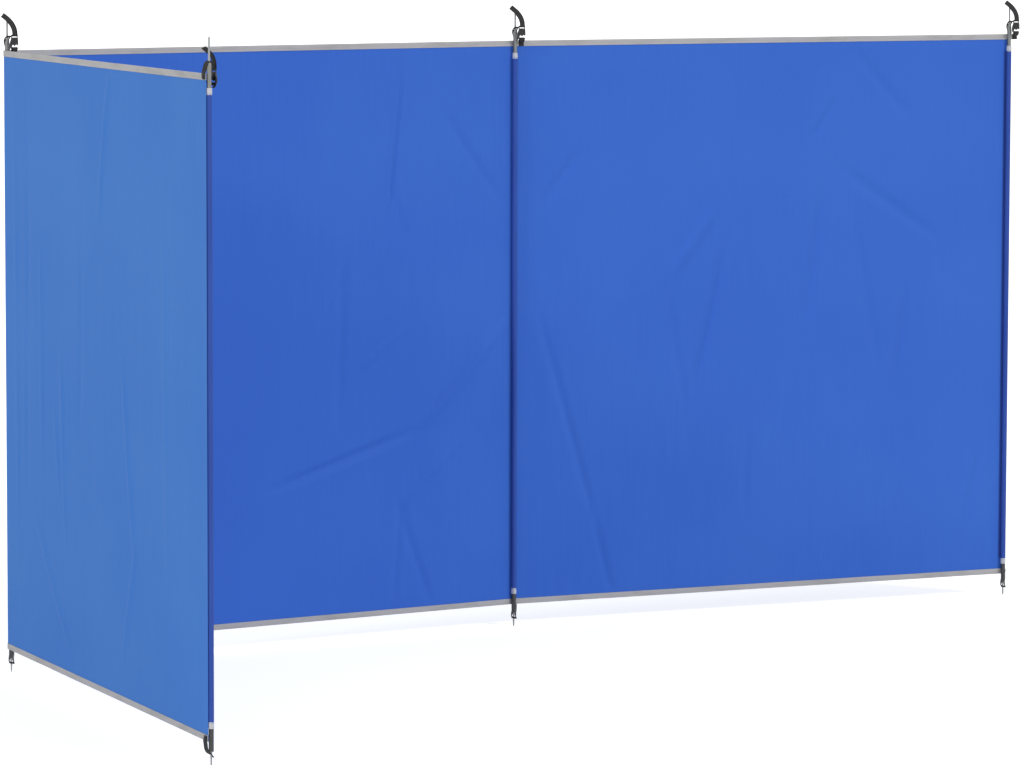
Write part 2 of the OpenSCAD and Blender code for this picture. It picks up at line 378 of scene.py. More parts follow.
# %% [markdown]
# ## Plastic, dark eyelets and steel
# The buckles are moulded plastic with a faint grain and worn corners. The eyelets are rolled
# metal under thick black paint, so they are finished as paint and not as bare metal. The tubes
# keep their shapes from the frame and only get new finishes: drawn steel has fine streaks along
# its length, and the pins are brighter than the tubes because the strap and the ground keep
# rubbing them.

# %% Hard finishes
def plastic_finish():
    finish, wire, feed = start_finish("buckle_plastic", Specular_IOR_Level=0.4)
    place = wire.on_object()
    grain = cloudy(place, 1400.0, 2.0)
    scuffs = cloudy(place, 160.0, 4.0, 0.65).step(0.5, 0.75)
    feed("Base Color", scuffs.between(shade(27, 27, 29), shade(52, 52, 54)))
    feed("Roughness", 0.38 + scuffs * 0.25)
    feed("Normal", raised(grain, 0.00005, 0.5))
    return finish


def eyelet_finish():
    finish, wire, feed = start_finish("dark_eyelet", Metallic=0.0, Specular_IOR_Level=0.35)
    place = wire.on_object()
    worn = cloudy(place, 500.0, 3.0).step(0.55, 0.75)
    feed("Base Color", worn.between(shade(13, 13, 14), shade(40, 40, 42)))
    feed("Roughness", 0.55 + worn * 0.2)
    return finish


def steel_finish(name, tube, streak, pin, pin_from, pin_to, metal):
    """Drawn steel: tube colour outside the heights from pin_from to pin_to, pin colour within."""
    finish, wire, feed = start_finish(name, Metallic=metal, Specular_IOR_Level=0.5)
    place = wire.on_object()
    up = parts_of(place)[2]
    drawn = cloudy(place, 700.0, 2.0, stretch=(1.0, 1.0, 0.02))
    spots = cloudy(place, 90.0, 4.0, 0.6).step(0.5, 0.72)
    bright = up.step(pin_from - 0.001, pin_from) * (1 - up.step(pin_to, pin_to + 0.001))
    body = (drawn * 0.6 + spots * 0.4).between(tube, streak)
    feed("Base Color", bright.between(body, pin))
    feed("Roughness", 0.3 + drawn * 0.12 + spots * 0.12)
    feed("Normal", raised(drawn, 0.00004, 0.4))
    return finish


TOP_PIN = 0.058
pin_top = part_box("corner_upper_tube")[1].z
tube_foot = 0.035
BUCKLE_BLACK = plastic_finish()
EYELET_BLACK = eyelet_finish()
LOWER_STEEL = steel_finish(
    "dark_tube", shade(52, 53, 53), shade(74, 75, 75), shade(150, 152, 154), -0.01, tube_foot, 0.35
)
UPPER_STEEL = steel_finish(
    "steel_tube", shade(120, 122, 120), shade(146, 148, 146), shade(152, 154, 156),
    pin_top - TOP_PIN, pin_top + 0.01, 0.7
)
for pole in POLES:
    for part, finish in (("_lower_tube", LOWER_STEEL), ("_upper_tube", UPPER_STEEL)):
        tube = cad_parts[pole + part]
        for holder in tube.material_slots:
            holder.material = finish
print("steel on", 2 * len(POLES), "tubes")

# %% [markdown]
# ## Shapes from sections
# Tape, webbing, sleeves and rings are all long things with a constant section, so one helper
# skins a row of sections into a closed band. It also writes the flat cut on every point, which
# the finishes above read. Sharp corners are marked by angle, and all else is smooth.

# %% Making a piece
STAGE = bpy.context.scene.collection
SHARP_FROM = math.radians(48)


def make_piece(name, points, faces, cuts, finishes, place=Matrix.Identity(4), sides=None):
    """A mesh object from points in a bay's frame, with its flat cut as an attribute."""
    mesh = bpy.data.meshes.new(name)
    mesh.from_pydata([place @ Vector(point) for point in points], [], faces)
    for finish in finishes:
        mesh.materials.append(finish)
    marks = mesh.attributes.new("cut", "FLOAT_VECTOR", "POINT")
    marks.data.foreach_set("vector", [number for cut in cuts for number in cut])
    if sides:
        mesh.polygons.foreach_set("material_index", sides)
    mesh.polygons.foreach_set("use_smooth", [True] * len(mesh.polygons))
    mesh.set_sharp_from_angle(angle=SHARP_FROM)
    mesh.update()
    piece = bpy.data.objects.new(name, mesh)
    STAGE.objects.link(piece)
    return piece


def skin(sections, closed=True, base=0):
    """Faces that join a row of equal sections, with a cap on each end if they are closed."""
    count = len(sections[0])
    faces = []
    for i in range(len(sections) - 1):
        for j in range(count if closed else count - 1):
            here, there = base + i * count, base + (i + 1) * count
            k = (j + 1) % count
            faces.append((here + j, here + k, there + k, there + j))
    if closed:
        last = base + (len(sections) - 1) * count
        faces.append(tuple(base + j for j in reversed(range(count))))
        faces.append(tuple(last + j for j in range(count)))
    return faces


def loft(rows):
    """Points, faces and cuts of a closed band, from rows of (point, cut) pairs."""
    points = [[tuple(point) for point, cut in row] for row in rows]
    cuts = [cut for row in rows for point, cut in row]
    return [point for row in points for point in row], skin(points), cuts


def hoop(around, count, base=0):
    """Faces of a closed hoop: sections of count points, set all the way round."""
    faces = []
    for k in range(around):
        here, there = base + k * count, base + (k + 1) % around * count
        for j in range(count):
            n = (j + 1) % count
            faces.append((here + j, there + j, there + n, here + n))
    return faces


def dress(piece, body, slot, *nodes):
    """The piece rides on a body and stands for CAD nodes, which it hides; slot is not used."""
    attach(piece, body)
    if nodes:
        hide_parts(*nodes)
    return piece


def ease(value, low, high):
    """0 below low, 1 above high and smooth between."""
    t = min(max((value - low) / (high - low), 0.0), 1.0)
    return t * t * (3 - 2 * t)


def ripple(x, y, z=0.0):
    """Even noise from -1 to 1 that is the same in every run."""
    return noise.noise(Vector((x, y, z)))


# %% [markdown]
# ## The cloth of each bay
# A bay of taut cloth looks flat until light grazes it: then it shows soft waves, and the sharp
# little folds where it was packed or where a strap pulls. It could be simulated, but the
# tension holds it within a few millimetres, so the waves are shaped directly. Broad noise gives
# the slack, and each fold is a line with a depth and a width, with a shallow trough beside
# its ridge so that no cloth is gained. The waves die out at the tapes and poles that hold them.

# %% Folds, listed one by one
# Each is x and height of both ends in metres, its depth in units of FOLD_UNIT, and its width in
# millimetres.
FOLD_UNIT = 0.0015
FOLD_REACH, FOLD_TRAIL = 3.2, 0.08  # in widths to each side, and in metres past each end
FOLDS = {
    "left_bay": [
        (1.42, 1.45, 1.40, 0.05, 1.5, 14), (1.31, 1.42, 1.33, 0.35, -1.5, 16),
        (1.22, 1.10, 1.20, 0.50, 1.2, 14), (0.68, 1.46, 0.76, 1.12, 3.0, 15),
        (0.60, 0.82, 0.51, 0.35, 2.9, 15), (0.51, 0.35, 0.59, 0.12, 2.4, 15),
        (1.26, 0.36, 1.00, 0.08, 2.4, 15), (1.10, 0.62, 1.07, 0.44, 1.7, 12),
        (0.30, 1.30, 0.26, 0.20, 1.3, 20), (0.88, 1.20, 0.92, 0.55, -1.2, 18),
        (1.06, 0.80, 1.02, 0.30, 1.8, 14),
    ],
    "middle_bay": [
        (1.16, 1.46, 1.11, 1.02, 3.6, 13), (1.13, 1.10, 1.17, 1.00, 1.6, 10),
        (1.28, 1.32, 1.46, 1.08, 2.6, 15), (1.48, 0.76, 1.22, 0.49, -5.0, 17),
        (1.22, 0.49, 0.76, 0.35, 4.6, 15), (1.32, 0.44, 1.15, 0.28, -3.6, 14),
        (1.15, 0.28, 1.24, 0.03, 2.4, 14), (1.15, 0.28, 1.13, 0.03, 2.0, 13),
        (1.14, 0.74, 1.04, 0.66, -3.2, 12), (0.98, 1.00, 0.96, 0.50, 1.8, 16),
        (0.97, 0.90, 0.94, 0.84, 1.6, 11), (0.35, 1.25, 0.42, 0.60, 1.5, 22),
    ],
    "right_bay": [
        (0.06, 0.83, 0.25, 0.18, 3.0, 14), (0.25, 0.18, 0.29, 0.02, 3.0, 13),
        (0.64, 0.98, 0.53, 0.52, 3.4, 13), (0.45, 0.85, 0.51, 0.52, 2.6, 14),
        (0.61, 1.05, 0.47, 0.87, -2.6, 18), (0.97, 1.15, 1.29, 0.94, 2.8, 20),
        (0.93, 1.11, 0.87, 0.70, 2.9, 18), (1.02, 1.02, 1.11, 0.56, 2.6, 18),
        (1.19, 0.83, 1.16, 0.56, 2.6, 14), (1.02, 1.46, 1.19, 1.28, 2.2, 18),
        (0.96, 1.32, 0.90, 1.23, 2.2, 14), (0.70, 0.43, 0.69, 0.25, 2.4, 18),
        (1.43, 0.36, 1.37, 0.10, 2.2, 15), (0.19, 1.20, 0.09, 1.07, 2.2, 17),
    ],
}
CLOTH_H = EDGE_Z - HEM_Z


def fold_depth(x, z, fold):
    """How far one fold lifts the cloth at x and height z, in metres."""
    x0, z0, x1, z1, depth, width = fold
    dx, dz = x1 - x0, z1 - z0
    length = math.hypot(dx, dz)
    t = ((x - x0) * dx + (z - z0) * dz) / length
    off = ((x - x0) * dz - (z - z0) * dx) / length / (width * 0.001)
    if abs(off) > FOLD_REACH or t < -FOLD_TRAIL or t > length + FOLD_TRAIL:
        return 0.0
    ends = ease(t, -0.06, length * 0.35) * (1 - ease(t, length * 0.75, length + 0.05))
    return FOLD_UNIT * depth * ends * (1 - 0.8 * off * off) * math.exp(-off * off)


def slack(x, z, bay):
    """How far the cloth of a bay stands out to windward at x and height z above the hem."""
    seed = 3.7 * list(BAYS).index(bay)
    held = ease(x, 0.0, 0.10) * ease(BAY_W - x, 0.0, 0.10)
    held *= ease(z, TAPE_H, 0.09) * ease(CLOTH_H - z, TAPE_H, 0.09)
    broad = 0.0034 * ripple(2.1 * x + seed, 1.7 * z) + 0.0011 * ripple(6.0 * x + seed, 3.1 * z, 5.0)
    waves = 0.00035 * ripple(26.0 * x, 1.5 * z + seed, 9.0)
    folds = sum(fold_depth(x, z, fold) for fold in FOLDS[bay])
    near_tape = ease(min(z, CLOTH_H - z), TAPE_H, 0.035) * ease(min(x, BAY_W - x), 0.008, 0.03)
    return broad * held + (waves + folds) * near_tape


# %% Cloth panels, with a sheltered and a windward face
ACROSS, UP = 176, 176


def cloth_panel(bay):
    x0, x1 = reach(bay + "_cloth", bay)
    points, cuts = [], []
    for side in (-0.5, 0.5):
        for i in range(UP + 1):
            z = min(max(CLOTH_H * i / UP, CLOTH_T), CLOTH_H - CLOTH_T)
            for j in range(ACROSS + 1):
                x = x0 + (x1 - x0) * j / ACROSS
                points.append((x, CLOTH_Y + side * CLOTH_T + slack(x, z, bay), HEM_Z + z))
                cuts.append((x, side * CLOTH_T, z))
    row = ACROSS + 1
    layer = row * (UP + 1)
    front = skin([range(row)] * (UP + 1), closed=False)
    faces = front + [tuple(layer + corner for corner in reversed(face)) for face in front]
    rim = list(range(row)) + [i * row + ACROSS for i in range(1, UP + 1)]
    rim += [UP * row + j for j in range(ACROSS - 1, -1, -1)]
    rim += [i * row for i in range(UP - 1, 0, -1)]
    for here, there in zip(rim, rim[1:] + rim[:1]):
        faces.append((here, here + layer, there + layer, there))
    sides = [0] * len(front) + [1] * len(front) + [0] * len(rim)
    finishes = [SHELTERED_BLUE, WINDWARD_LIT_BLUE]
    panel = make_piece(bay + "_panel", points, faces, cuts, finishes, BAYS[bay], sides)
    return dress(panel, bay, "cloth", bay + "_cloth")


PANELS = {bay: cloth_panel(bay) for bay in BAYS}
print("panels:", {name: len(panel.data.polygons) for name, panel in PANELS.items()}, "faces")

# %% [markdown]
# ## Tape folded over the edges
# Bias tape is sewn on folded, so its section is a narrow U with a round back, pulled in a little
# where the stitches run. The section is drawn once, upright for the hem and upside down for the
# top, and swept from station to station. A station is a point on the pole line of a bay and the
# direction of windward there, so the same sweep runs straight along a bay and round a pole.

# %% The section of the tape
STITCH_LINE, STITCH_PULL = 0.0032, 0.0011
TAPE_WALL = 0.00045


def tape_section():
    """Points of depth y and distance from the folded edge, round the closed section."""
    back = (TAPE_OUT - TAPE_IN) / 2
    middle = (TAPE_OUT + TAPE_IN) / 2
    free = TAPE_H - 0.0001
    heights = [free, free - STITCH_LINE + STITCH_PULL, free - STITCH_LINE,
               free - STITCH_LINE - STITCH_PULL, free * 0.5, back]
    pinch = [0.0001, 0.0, 0.0003, 0.0, -0.00005, 0.0]
    arc = [math.pi * k / 8 for k in range(1, 8)]
    outer = [(TAPE_IN + p, h) for h, p in zip(heights, pinch)]
    outer += [(middle - back * math.cos(a), back - back * math.sin(a)) for a in arc]
    outer += [(TAPE_OUT - p, h) for h, p in zip(reversed(heights), reversed(pinch))]
    hollow = back - TAPE_WALL
    inner = [(TAPE_OUT - TAPE_WALL - p, h) for h, p in zip(heights, pinch)]
    inner += [(middle + hollow * math.cos(a), back - hollow * math.sin(a)) for a in arc]
    inner += [(TAPE_IN + TAPE_WALL + p, h) for h, p in zip(reversed(heights), reversed(pinch))]
    return outer + inner


TAPE_SECTION = tape_section()


def straight(bay, x0, x1, step):
    """Stations along a bay: a point on its pole line, windward there, and the distance so far."""
    place = BAYS[bay]
    count = max(1, round((x1 - x0) / step))
    line = []
    for k in range(count + 1):
        x = x0 + (x1 - x0) * k / count
        line.append((place @ Vector((x, 0, 0)), place.col[1].to_3d(), x))
    return line


def sweep_tape(stations, edge_z, inward, seed):
    """Points, faces and cuts of tape along stations; inward is 1 for the hem and -1 for the top."""
    rows = []
    for spot, windward, along in stations:
        sway = 0.00012 * ripple(9 * along, seed)
        lift = 0.0002 * ripple(7 * along, seed, 3.0)
        row = []
        for k, (depth, height) in enumerate(TAPE_SECTION):
            loose = height / TAPE_H
            wave = 0.00018 * loose * ripple(55 * along, 4 * seed, 0.2 * k) + sway
            point = spot + windward * (depth + wave)
            cut = (along, height * (1 if depth < CLOTH_Y else -1), height)
            row.append(((point.x, point.y, edge_z + inward * height + lift), cut))
        rows.append(row)
    points, faces, cuts = loft(rows)
    if inward > 0:
        faces = [tuple(reversed(face)) for face in faces]
    return points, faces, cuts


TAPE_STEP, FOLD_STEP, TAB_STEP = 0.006, 0.0009, 0.002
EDGES = {"top": (EDGE_Z, -1), "hem": (HEM_Z, 1)}
TAPES = {}
for number, bay in enumerate(BAYS):
    for edge, (edge_z, inward) in EDGES.items():
        node = bay + "_" + edge + "_tape"
        x0, x1 = reach(bay + "_cloth", bay)
        shape = sweep_tape(straight(bay, x0, x1, TAPE_STEP), edge_z, inward, number + inward)
        tape = make_piece(bay + "_" + edge + "_binding", *shape, [TAPE_GREY])
        TAPES[node] = dress(tape, bay, "edge_tape", node)
print("tapes:", len(TAPES), "with", len(TAPE_SECTION), "points to a section")

# %% A doubled end of tape beyond the right end pole, for its buckle to be sewn to
TAB = ((0.0, TAPE_H - 0.0004), (0.0, 0.0006), (0.0003, 0.0002), (0.0008, 0.0002),
       (0.0011, 0.0006), (0.0011, TAPE_H - 0.0004), (0.0008, TAPE_H), (0.0003, TAPE_H))
TAB_LONGER = 0.007
tab_from = reach("right_bay_cloth", "right_bay")[1]
tab_to = reach("right_bay_top_tape", "right_bay")[1] + TAB_LONGER
rows = []
for spot, windward, along in straight("right_bay", tab_from, tab_to, TAB_STEP):
    row = [(spot + windward * (TAPE_IN + depth), height) for depth, height in TAB]
    rows.append([((p.x, p.y, EDGE_Z - height), (along, -height, height)) for p, height in row])
dress(make_piece("right_end_tape_tab", *loft(rows), [TAPE_GREY]), "right_bay", "edge_tape")
print("tape tab:", round((tab_to - tab_from) * 1000, 1), "mm long")

# %% [markdown]
# ## Cloth and tape round the two folding poles
# At the corner and middle poles the strip runs on round the back of the pole, and it has to bend
# as the next bay swings. These short stretches are swept on an arc about the pole's own axis,
# which is the joint's axis too, from the end of one bay's panel to the start of the next.

# %% Round the folding poles
FOLD_POLES = {"corner": ("left_bay", "middle_bay"), "middle": ("middle_bay", "right_bay")}


def round_pole(before, after):
    """Stations from the end of one bay's panel, round the pole, to the start of the next."""
    end, start = reach(before + "_cloth", before)[1], reach(after + "_cloth", after)[0]
    n0, n1 = BAYS[before].col[1].to_3d(), BAYS[after].col[1].to_3d()
    turn = n0.angle(n1) * (-1 if n0.cross(n1).z < 0 else 1)
    centre = BAYS[after] @ Vector((0, 0, 0))
    stations = straight(before, end, BAY_W, FOLD_STEP)
    steps = max(2, round(abs(turn) / 0.09))
    for k in range(1, steps):
        windward = Matrix.Rotation(turn * k / steps, 3, "Z") @ n0
        stations.append((centre, windward, BAY_W + CLOTH_Y * abs(turn) * k / steps))
    travel = BAY_W + CLOTH_Y * abs(turn)
    stations += [(spot, n, travel + x) for spot, n, x in straight(after, 0.0, start, FOLD_STEP)]
    return stations


def cloth_strip(stations, name):
    """The narrow strip of cloth round a pole, with its two faces."""
    steps = 90
    levels = [(-0.5, i) for i in range(steps + 1)] + [(0.5, i) for i in range(steps, -1, -1)]
    rows = []
    for spot, windward, along in stations:
        row = []
        for side, i in levels:
            z = CLOTH_T + (CLOTH_H - 2 * CLOTH_T) * i / steps
            held = ease(min(z, CLOTH_H - z), TAPE_H, 0.05)
            pucker = 0.00015 * ripple(60 * along, 14 * z) * held
            point = spot + windward * (CLOTH_Y + side * CLOTH_T + pucker)
            row.append(((point.x, point.y, HEM_Z + z), (along, side * CLOTH_T, z)))
        rows.append(row)
    points, faces, cuts = loft(rows)
    around = len(levels)
    sides = [1 if steps < k % around < around - 1 else 0 for k in range(len(faces) - 2)] + [0, 0]
    return make_piece(name, points, faces, cuts, [SHELTERED_BLUE, WINDWARD_LIT_BLUE], sides=sides)


FOLD_PIECES = {bay: [] for bay in BAYS}
for pole, (before, after) in FOLD_POLES.items():
    stations = round_pole(before, after)
    start = stations[0][0] + stations[0][1] * CLOTH_Y
    end = stations[-1][0] + stations[-1][1] * CLOTH_Y
    strip = cloth_strip(stations, pole + "_fold_cloth")
    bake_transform(strip)
    FOLD_PIECES[after].append(strip)
    for edge, (edge_z, inward) in EDGES.items():
        shape = sweep_tape(stations, edge_z, inward, 7.0)
        tape = make_piece(pole + "_fold_" + edge + "_tape", *shape, [TAPE_GREY])
        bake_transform(tape)
        FOLD_PIECES[after].append(tape)
    print(pole, "fold:", len(stations), "stations")

# %% [markdown]
# ## Stitches
# Rows of real stitches hold the tapes on, about four millimetres apart. Each one is a tiny
# five-sided bead of thread, sunk a little at its ends. Thousands of small objects would be slow,
# so every row of a bay goes into one mesh.

# %% Stitch rows
STITCH_GAP, STITCH_LEN, STITCH_SINK = 0.0042, 0.0031, 0.0003
BEAD_SIDES = 5


def stitch(middle, along, out, points, faces, cuts):
    """Adds one bead of thread that lies along a direction and stands out of the cloth."""
    side = along.cross(out)
    base = len(points)
    for reach_out, radius, lift in ((-0.5, 0.00008, -0.0001), (-0.3, 0.00024, 0.00008),
                                    (0.3, 0.00024, 0.00008), (0.5, 0.00008, -0.0001)):
        for k in range(BEAD_SIDES):
            turn = TURN * k / BEAD_SIDES
            spot = middle + along * (reach_out * STITCH_LEN) + out * (lift + radius * math.cos(turn))
            spot += side * (radius * math.sin(turn))
            points.append(tuple(spot))
            cuts.append((spot.x + spot.y, 0.0, spot.z))
    faces += skin([range(BEAD_SIDES)] * 4, base=base)


def stitch_row(place, start, end, out_y, bead, count=None):
    """A straight row of stitches between two points of a frame, on the side out_y of the cloth."""
    start, end = Vector(start), Vector(end)
    count = count or int((end - start).length / STITCH_GAP)
    along = (place.to_3x3() @ (end - start)).normalized()
    for k in range(count):
        spot = place @ start.lerp(end, (k + 0.5) / count)
        stitch(spot, along, place.col[1].to_3d() * out_y, *bead)


STITCHES = {}
for bay in BAYS:
    x0, x1 = reach(bay + "_cloth", bay)
    bead = ([], [], [])
    for edge_z, inward in EDGES.values():
        z = edge_z + inward * (TAPE_H - STITCH_LINE)
        for depth, out_y in ((TAPE_IN + STITCH_SINK, -1), (TAPE_OUT - STITCH_SINK, 1)):
            stitch_row(BAYS[bay], (x0, depth, z), (x1, depth, z), out_y, bead)
    rows = make_piece(bay + "_tape_stitching", *bead, [THREAD_GREY])
    STITCHES[bay] = dress(rows, bay, "edge_tape")
print("stitches:", sum(len(rows.data.polygons) // (3 * BEAD_SIDES + 2) for rows in STITCHES.values()))

# %% [markdown]
# ## The pieces sewn to each bay
# A bay is a square that the poles and straps stretch. Its tapes, its stitching and the strip
# round the pole on its left are gathered in a list for it, which nothing further uses.

for bay, panel in PANELS.items():
    sewn = [TAPES[bay + "_top_tape"], TAPES[bay + "_hem_tape"], STITCHES[bay]] + FOLD_PIECES[bay]

# %% [markdown]
# ## Sleeves and their rings
# A sleeve is a strip of the same cloth, sewn into a tube a little wider than the pole and joined
# to the bay by a flat flange with its own row of stitches. It is a lofted tube: the rings of
# points follow the pole and move in and out by fractions of a millimetre, as loose cloth does,
# and the flange is a thin band on the side of the bay that carries the pole. The grey rings at
# its ends are the same idea with a rolled section.

# %% Sleeve tubes
SLEEVE_WALL = 0.0003
FLANGE = (0.0042, 0.0108)


def sleeve_radius(turn, z, seed):
    """Outer radius of a sleeve: loose cloth with long soft creases and a few short ones."""
    long_creases = 0.00012 * ripple(1.6 * math.cos(turn) + seed, 1.6 * math.sin(turn), 1.5 * z)
    short = 0.00007 * ripple(2.0 * math.cos(turn), 2.0 * math.sin(turn) + seed, 28 * z)
    return SLEEVE_R - 0.0002 + long_creases + short


def sleeve_piece(pole):
    bay, x_pole = STANDS[pole]
    seed = 2.3 * list(POLES).index(pole)
    toward = -1 if x_pole > 0 else 1
    around, rows = 30, 150
    points, cuts, sections = [], [], []
    for i in range(rows + 1):
        z = SLEEVE_Z0 - 0.004 + (SLEEVE_Z1 - SLEEVE_Z0 + 0.008) * i / rows
        section = []
        for wall in (0.0, SLEEVE_WALL):
            for k in range(around):
                turn = TURN * k / around
                radius = sleeve_radius(turn, z, seed) - wall
                section.append((radius * math.cos(turn), radius * math.sin(turn), z))
                cuts.append((SLEEVE_R * turn, wall, z))
        sections.append(section)
        points += section
    faces = []
    ring = 2 * around
    for i in range(rows):
        for k in range(around):
            n = (k + 1) % around
            low, high = i * ring, (i + 1) * ring
            faces.append((low + k, low + n, high + n, high + k))
            faces.append((low + around + n, low + around + k, high + around + k, high + around + n))
    for k in range(around):
        n = (k + 1) % around
        top = rows * ring
        faces.append((n, k, around + k, around + n))
        faces.append((top + k, top + n, top + around + n, top + around + k))
    flange_y = CLOTH_Y - CLOTH_T / 2 - 0.0004
    flange = []
    for i in range(rows + 1):
        z = SLEEVE_Z0 + (SLEEVE_Z1 - SLEEVE_Z0) * i / rows
        wave = 0.0001 * ripple(40 * z, seed)
        x0, x1 = (toward * x for x in FLANGE)
        low_y, high_y = flange_y - SLEEVE_WALL + wave, flange_y + 0.0002
        flange.append([(x0, low_y, z), (x1, low_y, z), (x1, high_y, z), (x0, high_y, z)])
    if toward < 0:
        flange = [list(reversed(section)) for section in flange]
    faces += skin(flange, base=len(points))
    points += [point for section in flange for point in section]
    cuts += [(point[0], 0.0, point[2]) for section in flange for point in section]
    place = at_pole(pole)
    sleeve = make_piece(pole + "_pole_sleeve", points, faces, cuts, [SHADED_SLEEVE_BLUE], place)
    bead = ([], [], [])
    x, y = toward * (FLANGE[1] - 0.0022), flange_y - SLEEVE_WALL - 0.00005
    stitch_row(place, (x, y, SLEEVE_Z0), (x, y, SLEEVE_Z1), -1, bead)
    seam = make_piece(pole + "_sleeve_stitching", *bead, [SLEEVE_THREAD])
    dress(seam, bay, "sleeve_cloth")
    return dress(sleeve, bay, "sleeve_cloth", pole + "_sleeve")


SLEEVE_THREAD = tape_finish("sleeve_thread", shade(48, 70, 140), shade(40, 60, 125))
SLEEVES = {pole: sleeve_piece(pole) for pole in POLES}
print("sleeves:", len(SLEEVES), "of", round((SLEEVE_Z1 - SLEEVE_Z0), 3), "m")


# %% Binding rings
def ring_piece(pole):
    """Both rings of a pole: a rolled band with two pinched stitch lines."""
    low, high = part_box(pole + "_collars")
    bore = SLEEVE_R - SLEEVE_WALL - 0.0003
    around = 40
    points, cuts, faces = [], [], []
    for bottom in (low.z, high.z - RING_H):
        seed = bottom * 7 + list(POLES).index(pole)
        heights = [0.0, 0.0003, 0.0011, 0.0022, 0.0027, 0.0032, 0.005, 0.008]
        pulls = [0.0006, 0.00022, 0.0, 0.00005, 0.0003, 0.00005, -0.0001, -0.00015]
        outer = [(h, RING_R - 0.0002 - p) for h, p in zip(heights, pulls)]
        outer += [(RING_H - h, r) for h, r in reversed(outer[:-1])]
        section = outer + [(h, bore) for h, r in reversed(outer)]
        rings = []
        for k in range(around):
            turn = TURN * k / around
            ring = []
            for h, r in section:
                loose = 0.00016 * ripple(3 * math.cos(turn) + seed, 3 * math.sin(turn), 90 * h)
                r = r + loose if r > bore else r
                ring.append((r * math.cos(turn), r * math.sin(turn), bottom + h))
                cuts.append((bottom + h, SLEEVE_R * turn, h))
            rings.append(ring)
        faces += hoop(around, len(section), len(points))
        points += [point for ring in rings for point in ring]
    bay = STANDS[pole][0]
    rings = make_piece(pole + "_binding_rings", points, faces, cuts, [RING_GREY], at_pole(pole))
    return dress(rings, bay, "binding", pole + "_collars")


for pole in POLES:
    ring_piece(pole)
print("binding rings:", 2 * len(POLES))

# %% [markdown]
# ## Webbing straps
# Webbing is modelled directly, because a cloth simulation would melt its crisp section. A few
# listed points give the route, a smooth curve runs through them, and at every step a
# section with two raised selvedges is set square to the route. The direction that the flat face
# looks is given at every point too, so the band can lean and twist as a real strap does. Fine
# ribs stand out of both faces, and each cut end has the small bead of a hot knife.

# %% A band along a smooth route
STRAP_W, STRAP_T = 0.0146, 0.0013
STRAP_STEP = 0.0006
STRAP_RIB, STRAP_COLUMN = 0.0019, 0.0028


def smooth_through(values, t):
    """A point on the smooth curve through a list of vectors; t counts in list places."""
    last = len(values) - 1
    i = min(int(t), last - 1)
    f = t - i
    p0, p1, p2, p3 = (values[min(max(i + k, 0), last)] for k in (-1, 0, 1, 2))
    if i == 0:
        p0 = p1 * 2 - p2
    if i == last - 1:
        p3 = p2 * 2 - p1
    return 0.5 * (2 * p1 + (p2 - p0) * f + (2 * p0 - 5 * p1 + 4 * p2 - p3) * f * f
                  + (3 * p1 - p0 - 3 * p2 + p3) * f * f * f)


def route_of(knots):
    """Even steps along a route: place, direction and the way the flat face looks."""
    places = [Vector(place) for place, face in knots]
    looks = [Vector(face).normalized() for place, face in knots]
    fine = 40 * (len(knots) - 1)
    dots = [smooth_through(places, (len(knots) - 1) * k / fine) for k in range(fine + 1)]
    run = [0.0]
    for here, there in zip(dots, dots[1:]):
        run.append(run[-1] + (there - here).length)
    steps = max(4, round(run[-1] / STRAP_STEP))
    stops, k = [], 0
    for step in range(steps + 1):
        want = run[-1] * step / steps
        while k < fine - 1 and run[k + 1] < want:
            k += 1
        f = (want - run[k]) / max(run[k + 1] - run[k], 1e-9)
        spot = dots[k].lerp(dots[k + 1], f)
        t = (len(knots) - 1) * (k + f) / fine
        stops.append((spot, smooth_through(looks, t), want))
    return stops, run[-1]


def band_mesh(knots, loose_ends=(False, False)):
    """Points, faces and cuts of a woven band through (place, face) knots, in a pole's frame."""
    stops, length = route_of(knots)
    half, lip = STRAP_W / 2, 0.0009
    spread = [-half, -half + 0.0003, -half + lip, -half + 1.8 * lip]
    inner = [-half + 1.8 * lip + (STRAP_W - 3.6 * lip) * k / 8 for k in range(1, 8)]
    spread += inner + [-u for u in reversed(spread)]
    puff = [0.0, 0.42, 0.56, 0.46] + [0.46] * 7 + [0.46, 0.56, 0.42, 0.0]
    profile = list(zip(spread, puff))
    profile += [(u, -p) for u, p in reversed(profile[1:-1])]
    rows = []
    for k, (spot, face, run) in enumerate(stops):
        ahead = stops[min(k + 1, len(stops) - 1)][0] - stops[max(k - 1, 0)][0]
        ahead.normalize()
        across = ahead.cross(face).normalized()
        face = across.cross(ahead).normalized()
        bead = 0.0
        for at_end, loose in ((run, loose_ends[0]), (length - run, loose_ends[1])):
            bead += 0.00025 * (1 - ease(at_end, 0.0, 0.0016)) if loose else 0.0
        row = []
        for u, p in profile:
            rib = 0.00007 * math.sin(TURN * run / STRAP_RIB + 1.6 * math.sin(TURN * u / STRAP_COLUMN))
            away = p * STRAP_T + (rib + bead) * (0 if p == 0 else math.copysign(1, p))
            row.append((spot + across * u + face * away, (run, u, away)))
        rows.append(row)
    return *loft(rows), length


def join_shapes(*shapes):
    """Several (points, faces, cuts) in one."""
    points, faces, cuts = [], [], []
    for more_points, more_faces, more_cuts in shapes:
        base = len(points)
        points += more_points
        cuts += more_cuts
        faces += [tuple(base + corner for corner in face) for face in more_faces]
    return points, faces, cuts


